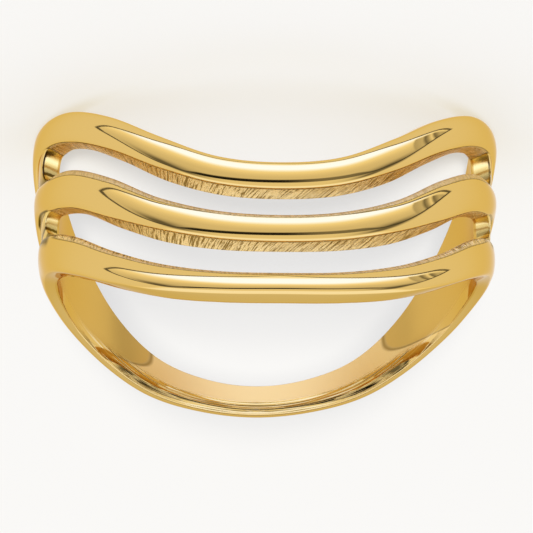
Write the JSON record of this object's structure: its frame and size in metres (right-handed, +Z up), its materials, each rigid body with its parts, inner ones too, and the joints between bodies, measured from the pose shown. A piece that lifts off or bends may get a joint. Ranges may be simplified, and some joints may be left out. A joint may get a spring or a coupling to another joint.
{
  "type": "thumb ring",
  "caption": "One-piece polished yellow gold thumb ring: wavy parallel bars cross the front and merge at the shoulders into a plain shank that tapers to the back.",
  "frame": {"origin": "centre of the ring's outline, on the surface it lies on", "axes": "+Z up from the surface, -Y towards the front of the bars, +X across the ring from shoulder to shoulder"},
  "size_m": [0.0214, 0.0212, 0.0108],
  "materials": {
    "gold": "mirror polished, as cast in the slots"
  },
  "bodies": {
    "root": {"ring": "gold"}
  },
  "joints": []
}
